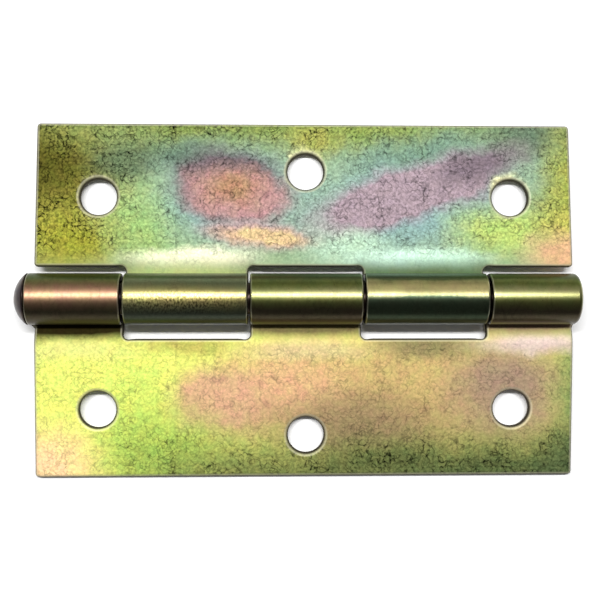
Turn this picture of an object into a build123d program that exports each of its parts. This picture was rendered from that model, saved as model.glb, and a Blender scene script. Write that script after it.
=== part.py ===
"""Butt hinge: two stamped steel leaves with rolled, interleaving knuckles on one domed pin.

The hinge lies open on a table: the barrel and the free edge of each leaf touch z = 0.
+X runs along the pin, +Y towards the two-knuckle leaf, +Z up. Millimetres.
"""

import os
from math import asin, atan2, cos, degrees, hypot, radians, sin, tan

from build123d import *

# Strip that both leaves are stamped from
sheet = 1.25
leaf_length = 76.2
leaf_reach = 25.2  # pin axis to free edge, measured along the leaf
corner_radius = 0.4

# Pin and the running fit around it
pin_diameter = 4.6
pin_clearance = 0.05  # radial
head_rim = 0.1  # straight edge of the head, before the dome
head_dome = 1.75
tail_chamfer = 0.4

# Rolled barrel: five knuckles, the middle one and both ends on one leaf
middle_knuckle = 15.7
inner_knuckle = 17.25
knuckle_gap = 0.3
head_overhang = 0.65  # the knuckle at the pin's head stands proud of the leaf's side edge
tail_overhang = 0.3  # and so does the one at its tail
tail_rounding = 0.7  # end of the barrel, closed in around the pin's tail
seam_gap = 0.3  # between the rolled lip and the neck

# Crank at each neck, which takes the sheet from the flat leaf down under the barrel
face_drop = 0.35  # inner face below the pin axis, half the gap of the closed hinge
crank_slope = 20  # degrees
crank_radius = 5.0  # on the inner face

# Punched pattern of the two-knuckle leaf, as distances from the pin axis
notch_edge = 4.65
notch_radius = 0.8
outer_row = 14.6
middle_row = 18.3
screw_pitch = 58.6  # between the two outer holes
hole_diameter = 5.1
hole_rollover = 0.4
punch_shift = 1.05  # the three-knuckle leaf is punched this much further out

# Fits and places that follow from these
bore_radius = pin_diameter / 2 + pin_clearance
barrel_radius = bore_radius + sheet
leaf_half = leaf_length / 2
head_end = leaf_half + head_overhang
tail_end = leaf_half + tail_overhang
inner_middle = (middle_knuckle + inner_knuckle) / 2 + knuckle_gap
end_start = inner_middle + inner_knuckle / 2 + knuckle_gap

slope = radians(crank_slope)
crank_rise = bore_radius * cos(slope) - face_drop - crank_radius * (1 - cos(slope))
crank_top = (bore_radius + crank_radius) * sin(slope) + crank_rise / tan(slope)
neck_root = max(crank_top, notch_edge + punch_shift) + notch_radius
lip_angle = degrees(asin((bore_radius - seam_gap) / barrel_radius)) - crank_slope

back_drop = face_drop + sheet
droop = asin(barrel_radius / hypot(leaf_reach, back_drop)) - atan2(back_drop, leaf_reach)
head_top = head_end + head_rim + head_dome
leaf_middle = (head_top - tail_end) / 2  # centres the overall length on x = 0
pin_centre = (leaf_middle, 0, barrel_radius)

# Section of a neck: short flat, crank and slope, down to where the roll starts
with BuildSketch() as neck:
    with BuildLine():
        starts, ends = [], []
        for depth in (0, sheet):
            flat = Line((neck_root, -face_drop - depth), (crank_top, -face_drop - depth))
            bend = CenterArc((crank_top, -face_drop - crank_radius), crank_radius - depth, 90, crank_slope)
            slope_end = ((bore_radius + depth) * sin(slope), -(bore_radius + depth) * cos(slope))
            Line(bend @ 1, slope_end)
            starts.append(flat @ 0)
            ends.append(slope_end)
        Line(*starts)
        Line(*ends)
    make_face()

# Section of a knuckle: the roll around the bore to the open seam
with BuildSketch() as roll:
    with BuildLine():
        turns = [CenterArc((0, 0), bore_radius + depth, crank_slope - 90, -270 - crank_slope - lip_angle)
                 for depth in (0, sheet)]
        Line(turns[0] @ 0, turns[1] @ 0)
        Line(turns[0] @ 1, turns[1] @ 1)
    make_face()


def rolled_leaf(side, knuckles, notches, shift, closed_tail=False):
    """One leaf: the punched plate, and the necks and knuckles rolled from its tongues.

    Drawn in the leaf's own frame: x along the pin, y outwards to the free edge, z out of the inner face.
    Knuckles and notches are given as (start, end) along the pin, from its head to its tail.
    """
    frame = Plane(pin_centre, x_dir=(side, 0, 0), z_dir=(0, side * sin(droop), cos(droop)))
    section = Plane(pin_centre, x_dir=frame.y_dir, z_dir=frame.x_dir)
    notch_depth = notch_edge + shift
    notch_reach = barrel_radius + notch_depth
    tongues = [sorted((side * start, side * end)) for start, end in knuckles]
    gaps = [sorted((side * start, side * end)) for start, end in notches]
    wall_middle = bore_radius + sheet / 2

    with BuildPart() as leaf:
        for start, end in tongues:
            with BuildSketch(section.offset(start)):
                add(roll.sketch)
            extrude(amount=end - start)
        if closed_tail:
            rims = leaf.edges().filter_by(GeomType.CIRCLE).filter_by(lambda edge: edge.radius > wall_middle)
            fillet(rims.sort_by(Axis.X)[-1], tail_rounding)

        # The necks end flush with the leaf's side edges
        for start, end in tongues:
            neck_start, neck_end = max(start, -leaf_half), min(end, leaf_half)
            with BuildSketch(section.offset(neck_start)):
                add(neck.sketch)
            extrude(amount=neck_end - neck_start)

        with BuildSketch(frame.offset(-face_drop)) as plate:
            with Locations((0, (leaf_reach + notch_depth - notch_radius) / 2)):
                Rectangle(leaf_length, leaf_reach - notch_depth + notch_radius)
            fillet(plate.vertices().group_by(Axis.Y)[-1], corner_radius)
            for start, end in gaps:
                with Locations(((start + end) / 2, notch_depth - notch_reach / 2)):
                    RectangleRounded(end - start, notch_reach, notch_radius, mode=Mode.SUBTRACT)
            for start, end in tongues:
                with Locations(((start + end) / 2, 0)):
                    Rectangle(end - start, 2 * neck_root, mode=Mode.SUBTRACT)
        extrude(amount=-sheet)

        with BuildSketch(frame):
            with Locations((0, middle_row + shift)):
                Circle(hole_diameter / 2)
            with Locations((-screw_pitch / 2, outer_row + shift), (screw_pitch / 2, outer_row + shift)):
                Circle(hole_diameter / 2)
        extrude(amount=-2 * barrel_radius, mode=Mode.SUBTRACT)
        rims = leaf.edges().filter_by(lambda edge: edge.geom_type == GeomType.CIRCLE and edge.is_closed)
        fillet(rims.group_by(Axis(frame.origin, frame.z_dir))[-1], hole_rollover)
    return leaf.part


# Knuckles from the pin's head to its tail, and the notches in the other leaf that they turn in
middle_half = middle_knuckle / 2
inner_half = inner_knuckle / 2
odd_knuckles = [(-head_end, -end_start), (-middle_half, middle_half), (end_start, tail_end)]
even_knuckles = [(middle - inner_half, middle + inner_half) for middle in (-inner_middle, inner_middle)]

even_notches = [(start - knuckle_gap, end + knuckle_gap) for start, end in even_knuckles]
middle_notch = middle_half + knuckle_gap
end_notch = end_start - knuckle_gap
run_out = head_end + notch_radius  # past the leaf's side edges
odd_notches = [(-run_out, -end_notch), (-middle_notch, middle_notch), (end_notch, run_out)]

three_knuckle = rolled_leaf(-1, odd_knuckles, even_notches, punch_shift, closed_tail=True)
two_knuckle = rolled_leaf(1, even_knuckles, odd_notches, 0)
three_knuckle.label = "leaf_three_knuckle"
two_knuckle.label = "leaf_two_knuckle"

# The pin: domed head against the left end knuckle, tail flush with the right one
pin_radius = pin_diameter / 2
dome_radius = (barrel_radius**2 + head_dome**2) / (2 * head_dome)
dome_angle = degrees(asin(barrel_radius / dome_radius))
with BuildPart() as hinge_pin:
    with BuildSketch(Plane(pin_centre, x_dir=(1, 0, 0), z_dir=(0, -1, 0))):
        with BuildLine():
            dome = CenterArc((dome_radius - head_top, 0), dome_radius, 180, -dome_angle)
            Polyline(
                dome @ 1,
                (-head_end, barrel_radius),
                (-head_end, pin_radius),
                (tail_end - tail_chamfer, pin_radius),
                (tail_end, pin_radius - tail_chamfer),
                (tail_end, 0),
                dome @ 0,
            )
        make_face()
    revolve(axis=Axis(pin_centre, (1, 0, 0)))
hinge_pin.part.label = "hinge_pin"

os.makedirs("parts", exist_ok=True)
export_step(three_knuckle, "parts/leaf_three_knuckle.step")
export_step(two_knuckle, "parts/leaf_two_knuckle.step")
export_step(hinge_pin.part, "parts/hinge_pin.step")
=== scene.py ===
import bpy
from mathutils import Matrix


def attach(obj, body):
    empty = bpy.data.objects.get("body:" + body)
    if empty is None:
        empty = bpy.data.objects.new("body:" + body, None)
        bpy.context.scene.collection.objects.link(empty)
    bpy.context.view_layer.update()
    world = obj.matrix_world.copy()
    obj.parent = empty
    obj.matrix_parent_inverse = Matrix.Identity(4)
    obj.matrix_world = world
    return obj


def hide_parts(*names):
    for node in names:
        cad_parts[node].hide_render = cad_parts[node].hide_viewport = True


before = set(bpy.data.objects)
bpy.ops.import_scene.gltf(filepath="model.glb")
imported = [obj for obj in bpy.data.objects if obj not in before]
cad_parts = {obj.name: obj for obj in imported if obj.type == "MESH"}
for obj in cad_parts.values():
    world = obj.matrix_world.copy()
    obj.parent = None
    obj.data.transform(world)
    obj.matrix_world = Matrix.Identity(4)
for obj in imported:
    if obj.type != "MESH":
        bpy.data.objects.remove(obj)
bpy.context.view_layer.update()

from math import asin, cos, pi, radians, sin, tan

import bmesh
import bpy
from mathutils import Vector

scene = bpy.context.scene

# Three-knuckle leaf, the lower one: a strip of 1.25 mm cold-rolled steel, punched with three screw holes
# and two notches, then cranked at its necks and rolled into both end knuckles and the middle one.
# It is zinc plated and dipped in yellow chromate after forming, so the film runs over every edge.
mm = 0.001
sheet = 1.25
leaf_half = 38.1
leaf_reach = 25.2  # pin axis to free edge
hole_radius = 2.55
corner_radius = 0.5
notch_radius = 0.8
pin_centre = Vector((1.1, 0, 3.6))
droop = radians(4.5636)  # each leaf hangs from the barrel to the table

# Crank and roll, and where they start along the strip
bore_radius = 2.35
face_drop = 0.35  # inner face below the pin axis
crank_slope = radians(20)
crank_radius = 5.0
crank_rise = bore_radius * cos(crank_slope) - face_drop - crank_radius * (1 - cos(crank_slope))
crank_top = (bore_radius + crank_radius) * sin(crank_slope) + crank_rise / tan(crank_slope)
roll_angle = radians(304.7)  # from the neck round to the lip
roll_start = crank_top - crank_radius * crank_slope - crank_rise / sin(crank_slope)
lip = roll_start - bore_radius * roll_angle
strip_start = leaf_reach + 1  # where the rolling path starts, beyond the free edge
neck_fade = 1.8  # how far the crank draws the plate in beside a neck

# Edges that the punch leaves
face_round = 0.42  # rollover along the outline of the inner face
hole_round = 0.6  # and around each hole
back_round = 0.3  # smaller, on the back
flat_margin = 0.06  # keeps the shading of the flat faces out of the rollover

# Steps along each curve, and cut lines where the strip bends
corner_steps = 6
hole_steps = 64
rollover_steps = 6
back_steps = 3
bend_cuts = 5
roll_cuts = 64
neck_cuts = 4
bend_steps = 8
roll_steps = 128


def add_node(tree, kind, links=None, **settings):
    """Adds a node, sets its settings, and links or sets its inputs by name or number."""
    node = tree.nodes.new(kind)
    for name, value in settings.items():
        setattr(node, name, value)
    for socket, source in (links or {}).items():
        if isinstance(source, bpy.types.NodeSocket):
            tree.links.new(source, node.inputs[socket])
        else:
            node.inputs[socket].default_value = source
    return node


def rounded_outline(corners):
    """The strip's punched outline as points, from corners given as (along, out, radius)."""
    outline = []
    for before, corner, after in zip(corners[-1:] + corners[:-1], corners, corners[1:] + corners[:1]):
        point = Vector(corner[:2])
        radius = corner[2]
        if radius == 0:
            outline.append(point)
            continue
        back = (Vector(before[:2]) - point).normalized()
        on = (Vector(after[:2]) - point).normalized()
        half = back.angle(on) / 2
        centre = point + (back + on).normalized() * radius / sin(half)
        first = point + back * radius / tan(half) - centre
        last = point + on * radius / tan(half) - centre
        turn = first.angle_signed(last)
        for step in range(corner_steps + 1):
            angle = -turn * step / corner_steps
            outline.append(centre + Vector((first.x * cos(angle) - first.y * sin(angle),
                                            first.x * sin(angle) + first.y * cos(angle))))
    return outline


def moved_in(outline, distance):
    """The outline moved towards its left hand side, which is the steel."""
    inner = []
    for before, point, after in zip(outline[-1:] + outline[:-1], outline, outline[1:] + outline[:1]):
        first = (point - before).normalized()
        second = (after - point).normalized()
        first_in = Vector((-first.y, first.x))
        second_in = Vector((-second.y, second.x))
        inner.append(point + (first_in + second_in) * distance / (1 + first_in.dot(second_in)))
    return inner


def quarter_round(radius, steps):
    """Points of a rounded edge as (inset, depth), from the flat face to the wall."""
    angles = [pi / 2 * step / steps for step in range(steps + 1)]
    return [(radius * (1 - sin(angle)), radius * (1 - cos(angle))) for angle in angles]


def punched_blank(name, corners, holes, tongues, extra_lines=()):
    """The flat strip before forming: x along the pin, y out to the free edge, z down through the sheet.

    Its rim attribute runs from 0 on the flat faces to 1 on the punched walls, and its neck attribute
    from 1 on the tongues to 0 where the plate stays flat.
    """
    outlines = [rounded_outline(corners)]
    for middle, out in holes:
        angles = [pi / 2 - 2 * pi * step / hole_steps for step in range(hole_steps)]
        outlines.append([Vector((middle + hole_radius * cos(angle), out + hole_radius * sin(angle)))
                         for angle in angles])
    back_edge = [(inset, sheet - depth) for inset, depth in quarter_round(back_round, back_steps)]

    strip = bmesh.new()
    rim = strip.verts.layers.float.new("rim")
    caps = ([], [])
    for outline, radius in zip(outlines, [face_round] + [hole_round] * len(holes)):
        edge = [(radius + flat_margin, 0)]
        edge += quarter_round(radius, rollover_steps)
        edge += reversed(back_edge)
        edge += [(back_round + flat_margin, sheet)]
        rings = []
        for inset, depth in edge:
            rings.append([strip.verts.new((point.x, point.y, depth)) for point in moved_in(outline, inset)])
            own_round = radius if depth < sheet / 2 else back_round
            for vertex in rings[-1]:
                vertex[rim] = max(0, 1 - inset / own_round)
        for upper, lower in zip(rings, rings[1:]):
            for k in range(len(outline)):
                strip.faces.new((upper[k - 1], upper[k], lower[k], lower[k - 1]))
        for cap, ring in zip(caps, (rings[0], rings[-1])):
            cap += [strip.edges.get((ring[k - 1], ring[k])) for k in range(len(ring))]
    for cap in caps:
        bmesh.ops.triangle_fill(strip, edges=cap, use_beauty=True)

    # Cut lines along the pin wherever the strip bends, and beside each neck, but not close to a side edge
    bend_lines = [crank_top - crank_radius * crank_slope * k / bend_cuts for k in range(bend_cuts + 1)]
    roll_lines = [roll_start - bore_radius * roll_angle * k / roll_cuts for k in range(roll_cuts)]
    neck_lines = [middle + side * (length / 2 + neck_fade * k / neck_cuts)
                  for middle, length in tongues for side in (-1, 1) for k in range(1, neck_cuts + 1)]
    cuts = [((0, out, 0), (0, 1, 0)) for out in bend_lines + roll_lines]
    cuts += [((along, 0, 0), (1, 0, 0)) for along in neck_lines if abs(along) < leaf_half - 1]
    cuts += [((along, 0, 0), (1, 0, 0)) for along in extra_lines]
    for place, facing in cuts:
        bmesh.ops.bisect_plane(strip, geom=strip.verts[:] + strip.edges[:] + strip.faces[:], dist=1e-5,
                               plane_co=place, plane_no=facing)
    bmesh.ops.recalc_face_normals(strip, faces=strip.faces)

    mesh = bpy.data.meshes.new(name)
    strip.to_mesh(mesh)
    strip.free()
    mesh.attributes.new("strip", "FLOAT_VECTOR", "POINT")
    mesh.attributes.new("neck", "FLOAT", "POINT")
    for vertex in mesh.vertices:
        mesh.attributes["strip"].data[vertex.index].vector = vertex.co
        beside = min(max(abs(vertex.co.x - middle) - length / 2, 0) for middle, length in tongues)
        drawn = max(1 - beside / neck_fade, 0)
        mesh.attributes["neck"].data[vertex.index].value = drawn * drawn * (3 - 2 * drawn)
    return mesh


def rolling_path(name, side):
    """Two lines that the inner face follows: through crank and knuckle, and straight on past them."""
    formed = [(strip_start, -face_drop), (crank_top, -face_drop)]
    for k in range(1, bend_steps + 1):
        angle = pi / 2 + crank_slope * k / bend_steps
        formed.append((crank_top + crank_radius * cos(angle), crank_radius * (sin(angle) - 1) - face_drop))
    for k in range(roll_steps + 1):
        angle = crank_slope - pi / 2 - roll_angle * k / roll_steps
        formed.append((bore_radius * cos(angle), bore_radius * sin(angle)))
    straight = [(strip_start, -face_drop), (lip - 1, -face_drop)]
    out = Vector((0, side * cos(droop), -sin(droop)))
    up = Vector((0, side * sin(droop), cos(droop)))
    lines = bpy.data.curves.new(name, "CURVE")
    lines.dimensions = "3D"
    for points in (formed, straight):
        spline = lines.splines.new("POLY")
        spline.points.add(len(points) - 1)
        for point, (reach, height) in zip(spline.points, points):
            point.co = (*((pin_centre + out * reach + up * height) * mm), 1)
    path = bpy.data.objects.new(name, lines)
    scene.collection.objects.link(path)
    return path


def strip_rolling():
    """Nodes that roll a flat blank: each point goes as far along the path as it lies along the strip."""
    tree = bpy.data.node_groups.new("strip_rolling", "GeometryNodeTree")
    for name, kind in (("Blank", "Geometry"), ("Path", "Object"), ("Strip Start", "Float"),
                       ("Side", "Float"), ("Scale", "Float"), ("Finish", "Material")):
        tree.interface.new_socket(name, in_out="INPUT", socket_type="NodeSocket" + kind)
    tree.interface.new_socket("Leaf", in_out="OUTPUT", socket_type="NodeSocketGeometry")
    entry = add_node(tree, "NodeGroupInput").outputs
    place = add_node(tree, "GeometryNodeInputPosition")
    flat = add_node(tree, "ShaderNodeSeparateXYZ", {0: place.outputs[0]}).outputs
    gone = add_node(tree, "ShaderNodeMath", {0: entry["Strip Start"], 1: flat["Y"]}, operation="SUBTRACT")
    gone = add_node(tree, "ShaderNodeMath", {0: gone.outputs[0], 1: entry["Scale"]}, operation="MULTIPLY")
    depth = add_node(tree, "ShaderNodeMath", {0: flat["Z"], 1: entry["Side"]}, operation="MULTIPLY")
    depth = add_node(tree, "ShaderNodeMath", {0: depth.outputs[0], 1: entry["Scale"]}, operation="MULTIPLY")
    path = add_node(tree, "GeometryNodeObjectInfo", {"Object": entry["Path"]})
    placed = []
    for line in (0, 1):
        on_path = add_node(tree, "GeometryNodeSampleCurve", {
            "Curves": path.outputs["Geometry"], "Length": gone.outputs[0], "Curve Index": line},
            mode="LENGTH")
        through = add_node(tree, "ShaderNodeVectorMath", {0: (1, 0, 0), 1: on_path.outputs["Tangent"]},
                           operation="CROSS_PRODUCT")
        through = add_node(tree, "ShaderNodeVectorMath", {0: through.outputs[0], "Scale": depth.outputs[0]},
                           operation="SCALE")
        placed.append(add_node(tree, "ShaderNodeVectorMath", {
            0: on_path.outputs["Position"], 1: through.outputs[0]}, operation="ADD").outputs[0])
    neck = add_node(tree, "GeometryNodeInputNamedAttribute", {"Name": "neck"}, data_type="FLOAT")
    section = add_node(tree, "ShaderNodeMix", {0: neck.outputs[0], 4: placed[1], 5: placed[0]},
                       data_type="VECTOR")
    along = add_node(tree, "ShaderNodeMath", {0: flat["X"], 1: entry["Scale"]}, operation="MULTIPLY")
    along = add_node(tree, "ShaderNodeCombineXYZ", {"X": along.outputs[0]})
    final = add_node(tree, "ShaderNodeVectorMath", {0: section.outputs[1], 1: along.outputs[0]},
                     operation="ADD")
    rolled = add_node(tree, "GeometryNodeSetPosition", {
        "Geometry": entry["Blank"], "Position": final.outputs[0]})
    real = add_node(tree, "GeometryNodeRealizeInstances", {0: rolled.outputs[0]})
    plated = add_node(tree, "GeometryNodeSetMaterial", {
        "Geometry": real.outputs[0], "Material": entry["Finish"]})
    add_node(tree, "NodeGroupOutput", {0: plated.outputs[0]})
    return tree


def rolled_leaf(name, blank, side, finish):
    """Rolls a blank by the nodes, and keeps the result as a plain mesh with its faces outwards."""
    former = bpy.data.objects.new(name + "_former", blank)
    scene.collection.objects.link(former)
    path = rolling_path(name + "_path", side)
    rolling = former.modifiers.new("roll", "NODES")
    rolling.node_group = rolling_nodes
    inputs = {"Path": path, "Strip Start": strip_start, "Side": float(side), "Scale": mm, "Finish": finish}
    for item in rolling_nodes.interface.items_tree:
        if item.in_out == "INPUT" and item.name in inputs:
            rolling[item.identifier] = inputs[item.name]
    mesh = bpy.data.meshes.new_from_object(former.evaluated_get(bpy.context.evaluated_depsgraph_get()))
    for helper in (former, path):
        bpy.data.objects.remove(helper)
    solid = bmesh.new()
    solid.from_mesh(mesh)
    bmesh.ops.remove_doubles(solid, verts=solid.verts, dist=0.001 * mm)
    bmesh.ops.recalc_face_normals(solid, faces=solid.faces)
    solid.to_mesh(mesh)
    solid.free()
    mesh.shade_smooth()
    mesh.name = name
    leaf = bpy.data.objects.new(name, mesh)
    scene.collection.objects.link(leaf)
    return leaf


def linear(code):
    """A colour written as sRGB hex, as the linear colour that a socket takes."""
    values = [int(code[k:k + 2], 16) / 255 for k in (1, 3, 5)]
    return (*(v / 12.92 if v <= 0.04045 else ((v + 0.055) / 1.055) ** 2.4 for v in values), 1)


def soft_oval(tree, point, along, out, length, width, turn, cover):
    """An oval patch on the strip: its cover in the middle, falling softly to nothing at its edge."""
    own = add_node(tree, "ShaderNodeMapping", {
        "Vector": point, "Location": (along, out, 0), "Rotation": (0, 0, radians(turn)),
        "Scale": (length, width, 100)}, vector_type="TEXTURE")
    oval = add_node(tree, "ShaderNodeTexGradient", {0: own.outputs[0]}, gradient_type="SPHERICAL")
    return add_node(tree, "ShaderNodeMapRange", {
        "Value": oval.outputs["Fac"], "From Max": 0.85, "To Max": cover},
        interpolation_type="SMOOTHSTEP").outputs[0]


def stained(tree, point, ground, stains_and_painted_light):
    """The film's colour: a ground colour with soft oval stains laid over it in turn, some of which are
    painted highlights and painted shade.

    A stain is (along, out, half length, half width, turn in degrees, colour, cover). A cover
    above 1 hides the ground out to a wider line, so that the stain's edge is firmer.
    """
    colour = linear(ground)
    for *oval, code, cover in stains_and_painted_light:
        cloud = soft_oval(tree, point, *oval, cover)
        laid = add_node(tree, "ShaderNodeMix", {0: cloud, 6: colour, 7: linear(code)}, data_type="RGBA")
        colour = laid.outputs[2]
    return colour


# Sizes of the plating's patterns in mm, and its roughness
crystal = 0.4  # drawn coarser than zinc crystals are, so that they show
clump = 3.0  # of the wavy lines that rolling left
wavy_lines = (1.3, 0.8)
blotch = 1.6  # of hue
speckle = 0.25  # coarser than it is, too
drifts = ((6, (5, 3, 0)), (1.2, (1.6, 1.2, 0)))  # the size of each, and how far it draws a cloud out
grain_relief = 0.02  # height of the crystals
flat_roughness = 0.66
knuckle_roughness = 0.24
head_roughness = 0.3


def chromate_plating(name, least_grain, ground, stains_and_painted_light, speckles=()):
    """Zinc plate under an iridescent yellow chromate film: satin metal, whose film goes through the
    interference colours in soft clouds as its thickness changes, over a fine crystalline grain. Some of its
    stains are painted highlights and painted shade."""
    material = bpy.data.materials.new(name)
    material.use_nodes = True
    tree = material.node_tree
    shader = tree.nodes["Principled BSDF"]
    strip = add_node(tree, "ShaderNodeAttribute", attribute_name="strip").outputs["Vector"]

    # The clouds have uneven edges on the flat of the leaf: drifts and wrinkles draw them out
    place = add_node(tree, "ShaderNodeSeparateXYZ", {0: strip}).outputs
    flat = add_node(tree, "ShaderNodeMapRange", {
        "Value": place["Y"], "From Min": 5.0, "From Max": 8.0, "To Min": 0.2, "To Max": 1.0}).outputs[0]
    warped = strip
    for size, reach in drifts:
        drift = add_node(tree, "ShaderNodeTexNoise", {"Vector": strip, "Scale": 1 / size, "Detail": 2.0})
        off = add_node(tree, "ShaderNodeVectorMath", {0: drift.outputs["Color"], 1: (-0.5, -0.5, -0.5)},
                       operation="ADD")
        off = add_node(tree, "ShaderNodeVectorMath", {0: off.outputs[0], "Scale": flat}, operation="SCALE")
        warped = add_node(tree, "ShaderNodeVectorMath", {0: off.outputs[0], 1: reach, 2: warped},
                          operation="MULTIPLY_ADD").outputs[0]
    # The film's colour, which also carries the painted highlights and painted shade among the stains
    film = stained(tree, warped, ground, stains_and_painted_light)

    # Grain: crystals, and in clumps the wavy dark lines that rolling left in the strip.
    # It shows most where the film is a deep yellow or green, and the rolled knuckles are smooth
    crystals = add_node(tree, "ShaderNodeTexNoise", {
        "Vector": strip, "Scale": 1 / crystal, "Detail": 2.0, "Roughness": 0.6})
    tone = add_node(tree, "ShaderNodeMapRange", {
        "Value": crystals.outputs["Fac"], "From Min": 0.3, "From Max": 0.7,
        "To Min": 0.32, "To Max": -0.2}).outputs[0]
    clumps = add_node(tree, "ShaderNodeTexNoise", {"Vector": strip, "Scale": 1 / clump, "Detail": 2.0})
    depth = add_node(tree, "ShaderNodeMapRange", {
        "Value": clumps.outputs["Fac"], "From Min": 0.38, "From Max": 0.62, "To Min": 0.2, "To Max": 0.55})
    for size in wavy_lines:
        wander = add_node(tree, "ShaderNodeTexNoise", {"Vector": strip, "Scale": 1 / size, "Detail": 1.0})
        away = add_node(tree, "ShaderNodeMath", {0: wander.outputs["Fac"], 1: 0.5}, operation="SUBTRACT")
        away = add_node(tree, "ShaderNodeMath", {0: away.outputs[0]}, operation="ABSOLUTE")
        lines = add_node(tree, "ShaderNodeMapRange", {
            "Value": away.outputs[0], "From Max": 0.06, "To Min": depth.outputs[0], "To Max": 0.0})
        tone = add_node(tree, "ShaderNodeMath", {0: tone, 1: lines.outputs[0]},
                        operation="SUBTRACT").outputs[0]
    blue = add_node(tree, "ShaderNodeSeparateColor", {0: film}).outputs["Blue"]
    grain = add_node(tree, "ShaderNodeMapRange", {
        "Value": blue, "From Min": 0.04, "From Max": 0.17, "To Min": 1.5, "To Max": least_grain})
    grain = add_node(tree, "ShaderNodeMath", {0: grain.outputs[0], 1: flat}, operation="MULTIPLY")
    tone = add_node(tree, "ShaderNodeMath", {0: tone, 1: grain.outputs[0], 2: 1.06}, operation="MULTIPLY_ADD")

    # Speckles where the zinc on a knuckle is coarse, and slight blotches of hue all over
    for patch in speckles:
        spots = add_node(tree, "ShaderNodeTexNoise", {"Vector": strip, "Scale": 1 / speckle, "Detail": 1.0})
        spots = add_node(tree, "ShaderNodeMapRange", {
            "Value": spots.outputs["Fac"], "From Min": 0.36, "From Max": 0.64, "To Min": -0.4, "To Max": 1.0})
        tone = add_node(tree, "ShaderNodeMath", {
            0: spots.outputs[0], 1: soft_oval(tree, strip, *patch), 2: tone.outputs[0]},
            operation="MULTIPLY_ADD")
    blotches = add_node(tree, "ShaderNodeTexNoise", {"Vector": strip, "Scale": 1 / blotch, "Detail": 2.0})
    hue = add_node(tree, "ShaderNodeMapRange", {
        "Value": blotches.outputs["Fac"], "From Min": 0.3, "From Max": 0.7, "To Min": 0.485, "To Max": 0.515})
    filmed = add_node(tree, "ShaderNodeHueSaturation", {
        "Color": film, "Hue": hue.outputs[0], "Value": tone.outputs[0]})

    # The rollover at each edge is painted a pale cream as a painted highlight, less of it on the knuckles.
    # The torn walls below it take little zinc and are painted dark, which also stands in for painted shade in
    # the holes and along the edges
    rim = add_node(tree, "ShaderNodeAttribute", attribute_name="rim").outputs["Fac"]
    rim_highlight = add_node(tree, "ShaderNodeMapRange", {
        "Value": place["Y"], "From Min": 1.0, "From Max": 4.0, "To Min": 0.2, "To Max": 0.4})
    # painted highlight: the pale cream laid on the rollover
    turned = add_node(tree, "ShaderNodeMapRange", {
        "Value": rim, "From Max": 0.3, "To Max": rim_highlight.outputs[0]})
    plated = add_node(tree, "ShaderNodeMix", {
        0: turned.outputs[0], 6: filmed.outputs[0], 7: linear("#e8e4c8")}, data_type="RGBA")
    # dark bare steel on the torn walls, and painted shade there
    dark_wall_and_shade = add_node(tree, "ShaderNodeMapRange", {
        "Value": rim, "From Min": 0.5, "From Max": 0.85, "To Max": 0.9})
    colour = add_node(tree, "ShaderNodeMix", {
        0: dark_wall_and_shade.outputs[0], 6: plated.outputs[2], 7: linear("#2c2218")}, data_type="RGBA")
    tree.links.new(colour.outputs[2], shader.inputs["Base Color"])

    # Rolling burnishes the knuckles, so they are glossier than the flat of the leaf,
    # the one at the pin's head a little less so than the others
    dull = add_node(tree, "ShaderNodeMapRange", {
        "Value": place["X"], "From Min": -28, "From Max": -15,
        "To Min": head_roughness, "To Max": knuckle_roughness})
    rough = add_node(tree, "ShaderNodeMapRange", {
        "Value": place["Y"], "From Min": 1.0, "From Max": 4.0,
        "To Min": dull.outputs[0], "To Max": flat_roughness})
    rough = add_node(tree, "ShaderNodeMath", {0: crystals.outputs["Fac"], 1: 0.12, 2: rough.outputs[0]},
                     operation="MULTIPLY_ADD")
    tree.links.new(rough.outputs[0], shader.inputs["Roughness"])
    bump = add_node(tree, "ShaderNodeBump", {
        "Height": crystals.outputs["Fac"], "Strength": 0.25, "Distance": grain_relief * mm})
    tree.links.new(bump.outputs[0], shader.inputs["Normal"])
    shader.inputs["Metallic"].default_value = 1.0
    return material


rolling_nodes = strip_rolling()
odd_edges = ((-38.75, -25.7), (-7.85, 7.85), (25.7, 38.4))  # of the knuckles, from the pin's head to its tail
head_end = odd_edges[0][0]
tail_end = odd_edges[2][1]
three_notch = 5.7  # pin axis to the edge of a notch
shoulder_start = 4.0  # where the end knuckles step out past the leaf's side edges
shoulder_end = 3.4
three_corners = [(-leaf_half, leaf_reach, corner_radius), (-leaf_half, shoulder_start, 0),
                 (head_end, shoulder_end, 0)]
for left, right in odd_edges:
    if left > -leaf_half:
        three_corners.append((left, three_notch, notch_radius))
    three_corners += [(left, lip, corner_radius), (right, lip, corner_radius)]
    if right < leaf_half:
        three_corners.append((right, three_notch, notch_radius))
three_corners += [(tail_end, shoulder_end, 0), (leaf_half, shoulder_start, 0),
                  (leaf_half, leaf_reach, corner_radius)]
three_holes = [(-29.3, 15.65), (0, 19.35), (29.3, 15.65)]
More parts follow.
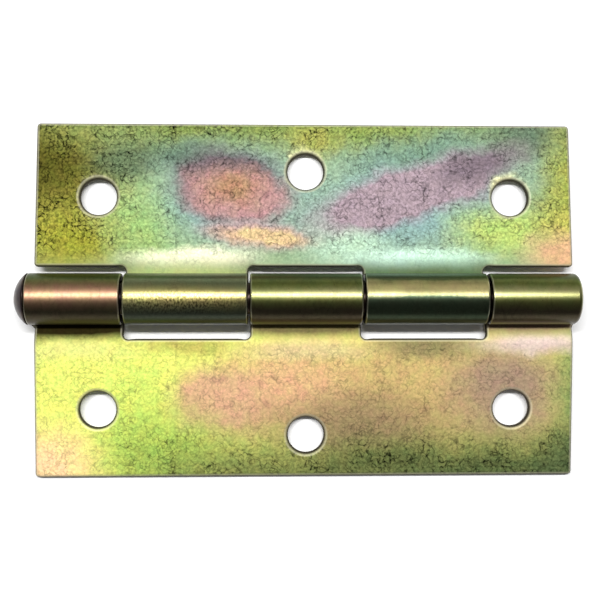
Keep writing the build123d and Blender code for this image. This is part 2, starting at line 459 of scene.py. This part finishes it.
three_plating = chromate_plating("yellow_chromate_thin_film", 0.5, "#e2e880", [
    # peach and green clouds at the left
    (-38, 25, 13, 10, 0, "#ffdcae", 1),
    (-24, 15, 7, 10, 0, "#d2e276", 0.8),
    # peach in the middle, tan and brown towards the right
    (14, 13, 38, 14, 0, "#ccb47c", 1),
    (-4, 13, 15, 9, 0, "#dcb88e", 1),
    (-12, 14.8, 9.5, 7, 0, "#d8b490", 1.5),
    (16, 10, 14, 7, 0, "#d0ba80", 0.8),
    (7, 18, 20, 7, 0, "#aa946e", 1),
    (29, 13, 13, 11, 0, "#b09880", 1),
    # green along the free edge, darker to the right, and up the right side
    (-20, 23, 13, 11, 0, "#b2ca64", 1),
    (-8, 26.4, 22, 9.5, 0, "#8e9656", 1),
    (10, 27, 22, 11, 0, "#747c4a", 1.3),
    (28, 27, 24, 11, 0, "#6a7648", 1.2),
    (39, 13, 5, 16, 0, "#98a666", 1),
    (38, 23, 9, 8, 0, "#5e6e48", 0.9),
    # duller beside the notches, and painted highlights on the bends between them
    (-17, 6, 11, 3, 0, "#c2bc66", 0.9),
    (17, 6.4, 11, 3, 0, "#988e64", 0.9),
    (-33, 7.2, 13, 2.4, 0, "#dede8c", 1),
    (0, 7.2, 13, 2.4, 0, "#d8c896", 1),
    (33, 6.4, 13, 2.4, 0, "#dac8be", 1),
    # slopes under the knuckles, painted darker as shade from the barrel, darkest at the pin's head
    (-33, 3.4, 24, 3.6, 0, "#2e2812", 1.3),
    (0, 3.2, 24, 3.1, 0, "#7c724a", 1.4),
    (33, 2.8, 24, 3.1, 0, "#8a7460", 1.3),
    # knuckles: olive, with painted shade along both sides, a painted highlight along the crest, and copper at
    # the pin's head
    (0, -7.5, 200, 7, 0, "#6c743a", 2),
    (20, -7.0, 60, 1.0, 0, "#848258", 1),
    (-34, -7.4, 24, 2.6, 0, "#8c6c54", 1.3),
    (0, -3.8, 200, 3.0, 0, "#464e2c", 2),
    (0, -11.6, 200, 5.2, 0, "#453f30", 2)])
tail_rounding = 0.7
rounding_lines = [tail_end - tail_rounding * cos(pi / 16 * k) for k in range(1, 8)]
odd_tongues = [((left + right) / 2, right - left) for left, right in odd_edges]
three_blank = punched_blank("three_knuckle_blank", three_corners, three_holes, odd_tongues, rounding_lines)

# The last knuckle is closed in around the pin's tail, which rounds its outer end
for vertex in three_blank.vertices:
    past = vertex.co.x - tail_end + tail_rounding
    if past > 0 and vertex.co.y < roll_start:
        kept = sheet - tail_rounding + max(tail_rounding**2 - past**2, 0) ** 0.5
        vertex.co.z = min(vertex.co.z, kept)
three_leaf = rolled_leaf("leaf_three_knuckle_plated", three_blank, -1, three_plating)
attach(three_leaf, "fixed_leaf")
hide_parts("leaf_three_knuckle")

# Two-knuckle leaf, the upper one: the same strip with its holes and notches punched nearer to the pin,
# rolled the other way into the two knuckles between those of the first leaf.
# It hung elsewhere in the chromate bath and took a thicker film, with pink and mauve clouds.
even_edges = ((-25.4, -8.15), (8.15, 25.4))
two_notch = 4.65
two_corners = [(-leaf_half, leaf_reach, corner_radius), (-leaf_half, two_notch, corner_radius)]
for left, right in even_edges:
    two_corners += [(left, two_notch, notch_radius), (left, lip, corner_radius),
                    (right, lip, corner_radius), (right, two_notch, notch_radius)]
two_corners += [(leaf_half, two_notch, corner_radius), (leaf_half, leaf_reach, corner_radius)]
two_holes = [(-29.3, 14.6), (0, 18.3), (29.3, 14.6)]
two_plating = chromate_plating("yellow_chromate_thick_film", 0.8, "#94a884", [
    # olive at the left, darker towards the corner, and yellow-green along the free edge
    (-37, 14, 19, 24, 0, "#9a9844", 1),
    (-39, 19, 18, 10, 0, "#5c5a24", 1),
    (-12, 26, 34, 8, 0, "#7c8a4a", 1),
    (14, 26, 34, 8, 0, "#869650", 1),
    (1, 22.6, 5, 4, 0, "#a0a054", 0.8),
    (-32, 8.5, 9, 5, 0, "#929234", 0.9),
    (-25, 20, 9, 5, 0, "#586a50", 0.8),
    (-22, 11, 9, 9, 0, "#98b270", 1),
    # blue-green haze around the clouds
    (-10.5, 15, 16, 11, 0, "#84a0a2", 1),
    (15, 14.5, 24, 12, 15, "#8aa8a8", 1),
    (6, 8, 9, 5, 0, "#b2cab2", 0.9),
    (33, 24, 10, 5, 0, "#667a66", 0.9),
    # pink cloud with a gold core and a dark edge
    (-17, 20.4, 7, 3.6, 0, "#627c6a", 0.8),
    (-10.8, 16.6, 10.6, 6.8, -8, "#6c6266", 2),
    (-9.8, 15.2, 10.2, 5.6, -8, "#ac8a88", 2),
    (-10.2, 16.2, 7, 4.4, -5, "#a88468", 1),
    # gold streak with a pink edge
    (-6.5, 9.0, 10.5, 2.9, -5, "#b29898", 1.4),
    (-5.6, 8.7, 8.4, 2.0, -3, "#cab48a", 1.4),
    # mauve cloud that narrows towards the right corner
    (16, 21.4, 14, 3.4, 10, "#74907c", 0.8),
    (14.8, 15.2, 19.5, 5.4, 17, "#a29198", 2),
    (25, 19.4, 10, 3.4, 18, "#80727a", 1),
    # yellow-green at the right, orange in the corner by the pin
    (29, 10, 12, 6, 0, "#b0c272", 1),
    (39, 15, 8, 18, 0, "#a0a654", 1),
    (38, 11, 7, 4, 0, "#bcb860", 0.8),
    (38, 6.6, 10, 5, 0, "#d2ae88", 1),
    # a painted highlight at the upper left of each hole
    *[(middle - 0.4, out + 0.5, 3.5, 3.5, 0, "#e4e0b0", 1.4) for middle, out in two_holes],
    # painted highlights on the bends
    (-19.5, 5.7, 9, 2.3, 0, "#eef0d0", 0.9),
    (-13, 5.7, 9, 2.3, 0, "#eeecd0", 0.9),
    (13, 5.6, 9, 2.2, 0, "#d2ecdc", 0.9),
    (20, 5.6, 9, 2.2, 0, "#cce8d4", 0.9),
    # slopes, and the knuckles with painted shade along both sides, and more painted shade on the lower side
    # and upper edge of the right one: gold on the crest of one, tan beside that of the other
    (-17, 2.4, 20, 3.8, 0, "#d8e49a", 1),
    (17, 2.4, 20, 3.8, 0, "#6c8858", 1),
    (0, -7.5, 200, 7, 0, "#646c4e", 2),
    (-17, -7.6, 20, 1.8, 0, "#8c8250", 1),
    (17, -8.7, 20, 2.0, 0, "#ccbe80", 1),
    (0, -3.6, 200, 4.2, 0, "#40463a", 2),
    (17, -5.0, 30, 4.2, 0, "#384232", 2.4),
    (17, -10.0, 20, 1.6, 0, "#4a5230", 1.3),
    (0, -12, 200, 3, 0, "#3a442e", 2)],
    # coarse zinc beside the crest of the knuckle nearer to the pin's head
    [(-18, -7.1, 15, 1.4, 0, 1.2)])
even_tongues = [((left + right) / 2, right - left) for left, right in even_edges]
two_blank = punched_blank("two_knuckle_blank", two_corners, two_holes, even_tongues)
two_leaf = rolled_leaf("leaf_two_knuckle_plated", two_blank, 1, two_plating)
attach(two_leaf, "swing_leaf")
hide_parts("leaf_two_knuckle")

# Hinge pin: a steel rod with an upset, domed head, pushed through all five knuckles from the left and held
# in the three-knuckle leaf. It is plated with the leaves, and the film on its head is a dark plum brown.
pin_radius = 2.3
pin_end = 39.5
tail_chamfer = 0.4
head_radius = 3.6
head_back = -37.65
head_front = -39.5
head_rim = 0.1
rim_round = 0.05
neck_fillet = 0.2  # under the head
dome_share = 0.985  # the dome stops just short of the rim, which is rounded
dome_steps = 24
rim_steps = 4
turn_steps = 96
dome_height = head_back - head_rim - head_front
dome_radius = (head_radius**2 + dome_height**2) / (2 * dome_height)
profile = []
for k in range(dome_steps + 1):
    angle = k / dome_steps * dome_share * asin(head_radius / dome_radius)
    profile.append((head_front + dome_radius * (1 - cos(angle)), dome_radius * sin(angle)))
rim_edges = ((head_back - head_rim + rim_round, pi), (head_back - rim_round, pi / 2))
for middle, start in rim_edges:
    for k in range(rim_steps + 1):
        angle = start - pi / 2 * k / rim_steps
        profile.append((middle + rim_round * cos(angle), head_radius - rim_round + rim_round * sin(angle)))
profile += [(head_back, pin_radius + neck_fillet), (head_back + neck_fillet, pin_radius), (0, pin_radius)]

# The chamfer at the tail has its two edges taken off slightly
profile += [(pin_end - tail_chamfer, pin_radius), (pin_end - tail_chamfer + 0.05, pin_radius - 0.02),
            (pin_end - 0.03, pin_radius - tail_chamfer + 0.02), (pin_end, pin_radius - tail_chamfer - 0.02),
            (pin_end, 0)]
turned = bmesh.new()
line = [turned.verts.new((along * mm, 0, (pin_centre.z + out) * mm)) for along, out in profile]
edges = [turned.edges.new(pair) for pair in zip(line, line[1:])]
bmesh.ops.spin(turned, geom=line + edges, cent=pin_centre * mm, axis=(1, 0, 0), angle=2 * pi,
               steps=turn_steps, use_merge=True)
bmesh.ops.remove_doubles(turned, verts=turned.verts, dist=0.001 * mm)
bmesh.ops.recalc_face_normals(turned, faces=turned.faces)
pin_mesh = bpy.data.meshes.new("hinge_pin_plated")
turned.to_mesh(pin_mesh)
turned.free()
pin_mesh.shade_smooth()

# Its film shifts between plum and umber in small clouds, with a soft gloss over the fine grain of the zinc,
# which is drawn coarser than it is so that it shows
pin_cloud = 1.6
pin_crystal = 0.25
pin_plating = bpy.data.materials.new("yellow_chromate_plum_film")
pin_plating.use_nodes = True
tree = pin_plating.node_tree
shader = tree.nodes["Principled BSDF"]
place = add_node(tree, "ShaderNodeTexCoord").outputs["Object"]
clouds = add_node(tree, "ShaderNodeTexNoise", {"Vector": place, "Scale": 1 / (pin_cloud * mm), "Detail": 3.0})
film = add_node(tree, "ShaderNodeValToRGB", {"Fac": clouds.outputs["Fac"]})
for stop, (where, code) in zip(film.color_ramp.elements, ((0.35, "#2c2428"), (0.65, "#443a32"))):
    stop.position = where
    stop.color = linear(code)
crystals = add_node(tree, "ShaderNodeTexNoise", {
    "Vector": place, "Scale": 1 / (pin_crystal * mm), "Detail": 2.0})
rough = add_node(tree, "ShaderNodeMapRange", {
    "Value": crystals.outputs["Fac"], "To Min": 0.22, "To Max": 0.4})
bump = add_node(tree, "ShaderNodeBump", {
    "Height": crystals.outputs["Fac"], "Strength": 0.25, "Distance": grain_relief * mm})
tree.links.new(film.outputs["Color"], shader.inputs["Base Color"])
tree.links.new(rough.outputs[0], shader.inputs["Roughness"])
tree.links.new(bump.outputs[0], shader.inputs["Normal"])
shader.inputs["Metallic"].default_value = 1.0
pin_mesh.materials.append(pin_plating)
pin = bpy.data.objects.new("hinge_pin_plated", pin_mesh)
scene.collection.objects.link(pin)
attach(pin, "fixed_leaf")
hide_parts("hinge_pin")

# Table: a plain white laminate top that the barrel and both free edges rest on.
# It shows white to the eye and in the plating, and takes the hinge's soft shadow.
table_half = 0.25
table_mesh = bpy.data.meshes.new("table")
table_corners = [(across * table_half, deep * table_half, 0)
                 for across, deep in ((-1, -1), (1, -1), (1, 1), (-1, 1))]
table_mesh.from_pydata(table_corners, [], [(0, 1, 2, 3)])
table = bpy.data.objects.new("table", table_mesh)
scene.collection.objects.link(table)
table_top = bpy.data.materials.new("white_laminate")
table_top.use_nodes = True
laminate = table_top.node_tree.nodes["Principled BSDF"]
laminate.inputs["Base Color"].default_value = linear("#fafafa")
laminate.inputs["Roughness"].default_value = 0.9
table_mesh.materials.append(table_top)

# Light: one strip softbox along the hinge, over the upper leaf and to the left. A low white backdrop stands
# around the table, and the room above it is light on the far side and dark on the near one.
softbox = bpy.data.lights.new("softbox", "AREA")
softbox.shape = "RECTANGLE"
softbox.size = 0.5
softbox.size_y = 0.05
softbox.energy = 3.4
softbox_stand = bpy.data.objects.new("softbox", softbox)
softbox_stand.location = (-0.05, 0.145, 0.5)
softbox_stand.rotation_euler = (radians(-16), 0, 0)
scene.collection.objects.link(softbox_stand)
room = bpy.data.worlds.new("room")
room.use_nodes = True
scene.world = room
tree = room.node_tree
background = tree.nodes["Background"]
direction = add_node(tree, "ShaderNodeTexCoord").outputs["Generated"]
heading = add_node(tree, "ShaderNodeSeparateXYZ", {0: direction}).outputs
far_wall = add_node(tree, "ShaderNodeMapRange", {
    "Value": heading["Y"], "From Min": -0.1, "From Max": 0.55, "To Min": 0.16, "To Max": 0.55},
    interpolation_type="SMOOTHSTEP")
height = add_node(tree, "ShaderNodeMapRange", {
    "Value": heading["Z"], "From Min": 0.05, "From Max": 0.5, "To Min": 0.2, "To Max": 1.0},
    interpolation_type="SMOOTHSTEP")
glow = add_node(tree, "ShaderNodeMath", {0: far_wall.outputs[0], 1: height.outputs[0]}, operation="MULTIPLY")
backdrop = add_node(tree, "ShaderNodeMapRange", {
    "Value": heading["Z"], "From Min": 0.1, "From Max": 0.25, "To Min": 1.0, "To Max": 0.0},
    interpolation_type="SMOOTHSTEP")
level = add_node(tree, "ShaderNodeMath", {0: glow.outputs[0], 1: backdrop.outputs[0]}, operation="MAXIMUM")
tree.links.new(level.outputs[0], background.inputs["Strength"])
background.inputs["Color"].default_value = linear("#ffffff")

# Camera: looks almost straight down on the open hinge from about 15 cm, as a hand-held camera does.
lens = bpy.data.cameras.new("camera")
lens.sensor_width = 36
lens.lens = 62.634
lens.clip_start = 0.01
camera = bpy.data.objects.new("camera", lens)
camera.location = (-0.00498, -0.00378, 0.150)
camera.rotation_euler = (radians(1.42), radians(-2.04), radians(-0.06))
scene.collection.objects.link(camera)
scene.camera = camera
scene.view_settings.view_transform = "Standard"
